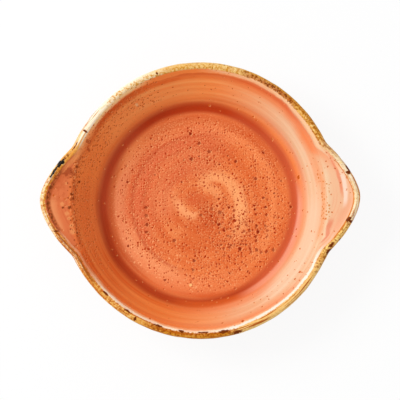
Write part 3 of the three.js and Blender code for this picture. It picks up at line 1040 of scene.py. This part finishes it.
def fired(p, colour):
    """The glaze's shine and its skin, with the brush's lines in it."""
    skin = p.noise(p.mm, 0.55, detail=3)
    lines = p.brush(2.4, 1.1, seed=41)
    height = p.add(p.times(skin, 0.5), p.times(lines, 0.5))
    shine = p.step(p.brush(1.8, 0.6, seed=47), 0.3, 0.7, 0.24, 0.36)
    normal = p.bump(height, strength=0.25, distance=0.4 * MM)
    p.surface(Base_Color=colour, Roughness=shine, Specular_IOR_Level=0.08, Normal=normal)
    return p.material


# Materials
def outside_glaze(name):
    """The outside coat: the edge band's end, then brushed orange."""
    p = Paint(name)
    p.place()
    return fired(p, under_the_lip(p, edge_colour(p)))


def edge_glaze(name):
    """The edge coat: the gold and brown band over the lip, with its rust marks and the scorch."""
    p = Paint(name)
    p.place()
    wall = over_the_wall(p, wall_colour(p))
    inner_end = p.wandering(band_place(p), 0.7, 1.4)
    band = p.strongest(p.step(inner_end, -4.8, -4.1), p.step(p.across, 2.5, 3.5))
    colour = p.mix(band, wall, edge_colour(p))
    colour = p.laid(colour, (116, 48, 0), blotches(p, RUST))
    colour = p.laid(colour, (26, 20, 18), blotches(p, SCORCH))
    return fired(p, under_the_lip(p, colour))


PALE_GRAINS = (  # single grains, in millimetres: middle, radius and softness; share; tone
    ((-7, -53.7, 1, 0.5, 0.9), (250, 196, 130)),
    ((-40.5, 64.4, 0.9, 0.4, 0.9), (250, 196, 140)),
)


def inside_glaze(name):
    """The inside coat: the floor, the wall and the ears' tops, with their specks."""
    p = Paint(name)
    p.place()
    colour = over_the_wall(p, inside_colour(p))

    # pits with iron in them, each with a painted highlight on its side towards the key lamp: thick on the
    # floor, to the right above all
    thick = p.spot(25, -17, 18, 13)
    upper = p.spot(8, 26, 18, 14, 0.75)
    lower = p.spot(-3, -31, 13, 10, 0.85)
    crowd = p.strongest(thick, upper, lower, p.sector(-35, 50, 50, 0.65), 0.28)
    crowd = p.times(crowd, p.step(p.r, 50, 62, 1, 0.07))
    by_rim = p.times(p.sector(160, 36, 26, 0.45), p.band(p.r, 68, 75, 82, 87))
    clumps = p.step(p.noise(p.spread, 0.09), 0.35, 0.6, 0.5, 1)
    density = p.times(p.strongest(crowd, by_rim), clumps)
    on_floor = p.times(p.step(p.r, 50, 60, 1, 0), clumps)
    lit_side = p.vector("SUBTRACT", p.ragged, (0.5, -0.25, 0))
    wall_tone = p.mix(p.sector(-10, 55, 50), (196, 86, 22), (192, 84, 16))
    for size, share, largest, tone, where in (
        (1.55, 0.92, 0.62, (186, 56, 0), p.strongest(density, p.times(on_floor, 0.55))),
        (2.45, 0.86, 0.85, (172, 46, 0), density),
        (3.6, 0.8, 1.2, (158, 40, 0), p.times(thick, clumps)),
        (6, 0.55, 1.35, (144, 34, 0), p.times(crowd, clumps)),
    ):
        # painted highlight: a pale copy of each speck, shifted towards the key lamp
        colour = p.laid(colour, (252, 178, 118), p.specks(size, share, largest, where, lit_side), 0.55)
        speck = p.mix(p.step(p.r, 58, 66), tone, wall_tone)
        colour = p.mix(p.specks(size, share, largest, where), colour, speck)
    return fired(p, p.overlaid(colour, p.spot, PALE_GRAINS))


def cream_glaze(name):
    """The clear cream glaze of the base, with a few pin-prick specks and turning lines."""
    p = Paint(name)
    p.place()
    lines = p.noise(p.combine(0, 0, p.times(p.r, 0.8)), 1, detail=3)
    clouds = p.noise(p.mm, 0.05, detail=3)
    colour = p.mix(p.step(clouds, 0.35, 0.65), (230, 214, 186), (238, 226, 202))
    colour = p.laid(colour, (206, 184, 148), p.step(lines, 0.5, 0.7, 0, 0.25))
    colour = p.laid(colour, (142, 98, 56), p.specks(4, 0.4, 0.5, 1, p.flat), 0.8)
    normal = p.bump(lines, strength=0.15, distance=0.3 * MM)
    p.surface(Base_Color=colour, Roughness=0.22, Normal=normal)
    return p.material


def fired_clay(name):
    """Bare fired clay: sandy, matt, with turning lines."""
    p = Paint(name)
    p.place()
    grit = p.noise(p.mm, 1.6, detail=4, roughness=0.7)
    lines = p.noise(p.combine(0, 0, p.times(p.r, 1.6)), 1)
    colour = p.mix(p.step(grit, 0.35, 0.65), (196, 176, 146), (226, 210, 184))
    colour = p.laid(colour, (180, 154, 120), p.step(lines, 0.5, 0.65, 0, 0.3))
    colour = p.laid(colour, (120, 84, 54), p.specks(2.4, 0.35, 0.35, 1, p.flat), 0.8)
    shine = p.step(grit, 0.3, 0.7, 0.75, 0.92)
    normal = p.bump(grit, strength=0.4, distance=0.3 * MM)
    p.surface(Base_Color=colour, Roughness=shine, Normal=normal)
    return p.material


def dress(data, material):
    """Gives a mesh its one material."""
    data.materials.clear()
    data.materials.append(material)


body = clay_body("clay_body")
clay = fired_clay("fired_clay")
for piece, node, slot, material in (
    (inside_coat, "inside_glaze", "inside_glaze", inside_glaze("orange_glaze")),
    (edge_coat, "edge_glaze", "edge_glaze", edge_glaze("gold_glaze")),
    (outside_coat, "outside_glaze", "outside_glaze", outside_glaze("brushed_glaze")),
    (base_coat, "base_glaze", "base_glaze", cream_glaze("cream_glaze")),
    (body, "dish_body", "clay", clay),
):
    dress(piece.data, material)
    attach(piece, "root")
    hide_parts(node)
for node in ("left_ear", "right_ear", "left_ear_slip", "right_ear_slip"):
    dress(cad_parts[node].data, clay)

# The stage, in metres: a white floor that keeps the dish's soft shadow, two lamps and a bright room
WHITE = (1, 1, 1, 1)
FLOOR_HALF = 3.0
FLOOR_GREY = (0.9, 0.9, 0.9, 1)
SHADOW_SHARE = 0.1  # how much of the floor's true shading shows
ROOM_LIGHT = 0.6


def white_floor(name):
    """White to the camera and in reflections, with a share of true shading left in for the shadow."""
    p = Paint(name)
    rays = p.node("ShaderNodeLightPath").outputs
    seen = p.strongest(rays["Is Camera Ray"], rays["Is Glossy Ray"], rays["Is Transmission Ray"])
    share = p.times(seen, 1 - SHADOW_SHARE)
    matt = p.node("ShaderNodeBsdfDiffuse", ("Color", FLOOR_GREY)).outputs[0]
    glow = p.node("ShaderNodeEmission", ("Color", WHITE)).outputs[0]
    mixed = p.node("ShaderNodeMixShader", (0, share), (1, matt), (2, glow)).outputs[0]
    p.feed(p.tree.nodes["Material Output"].inputs["Surface"], mixed)
    p.tree.nodes.remove(p.shader)
    return p.material


def softbox(name, azimuth, elevation, distance, size, strength):
    """A square lamp that looks at the dish. Strength 1 lights a white surface that faces it to white."""
    data = bpy.data.lights.new(name, "AREA")
    data.shape = "SQUARE"
    data.size = size
    data.energy = strength * pi**2 * distance**2
    a, e = radians(azimuth), radians(elevation)
    toward = Vector((cos(a) * cos(e), sin(a) * cos(e), sin(e)))
    lamp = added(name, data)
    lamp.location = toward * distance
    lamp.rotation_euler = toward.to_track_quat("Z", "Y").to_euler()


floor_mesh = bpy.data.meshes.new("floor")
floor_corners = [(FLOOR_HALF * x, FLOOR_HALF * y, 0) for x, y in ((-1, -1), (1, -1), (1, 1), (-1, 1))]
floor_mesh.from_pydata(floor_corners, [], [(0, 1, 2, 3)])
floor_mesh.materials.append(white_floor("white_floor"))
floor = added("floor", floor_mesh)

softbox("key", azimuth=158, elevation=44, distance=1.3, size=0.6, strength=0.72)
softbox("fill", azimuth=-10, elevation=38, distance=1.5, size=1.4, strength=0.05)

world = bpy.data.worlds.new("studio")
scene.world = world
world.use_nodes = True
room = world.node_tree.nodes["Background"]
room.inputs["Color"].default_value = WHITE
room.inputs["Strength"].default_value = ROOM_LIGHT

# The camera looks almost straight down, a little from the front and the left, as in the photograph
FRAME_PIXELS = 400
RIM_PIXELS = 139.25  # the rim's radius in the frame
CENTRE_PIXEL = (200.4, 199.65)  # where the rim's centre stands in the frame
MM_PER_PIXEL = RIM_RADIUS / RIM_PIXELS
CAMERA_DISTANCE = 1200.0
SENSOR = 36.0
TILT_FRONT = radians(5.5)
TILT_LEFT = radians(0.8)
ROLL = radians(-0.9)

view = bpy.data.cameras.new("camera")
view.sensor_width = SENSOR
view.lens = SENSOR * CAMERA_DISTANCE / (FRAME_PIXELS * MM_PER_PIXEL)
view.clip_start = 0.01
view.clip_end = 20
camera = added("camera", view)
back = Vector((-tan(TILT_LEFT), -tan(TILT_FRONT), 1)).normalized()
right = Vector((cos(ROLL), sin(ROLL), 0))
right = (right - back * right.dot(back)).normalized()
up = back.cross(right)
shift = Vector((FRAME_PIXELS / 2 - CENTRE_PIXEL[0], CENTRE_PIXEL[1] - FRAME_PIXELS / 2)) * MM_PER_PIXEL
target = Vector((0, 0, HEIGHT - WALL / 2)) + right * shift[0] + up * shift[1]
turn = Matrix((right, up, back)).transposed().to_4x4()
camera.matrix_world = Matrix.Translation((target + back * CAMERA_DISTANCE) * MM) @ turn
scene.camera = camera

scene.view_settings.view_transform = "Standard"
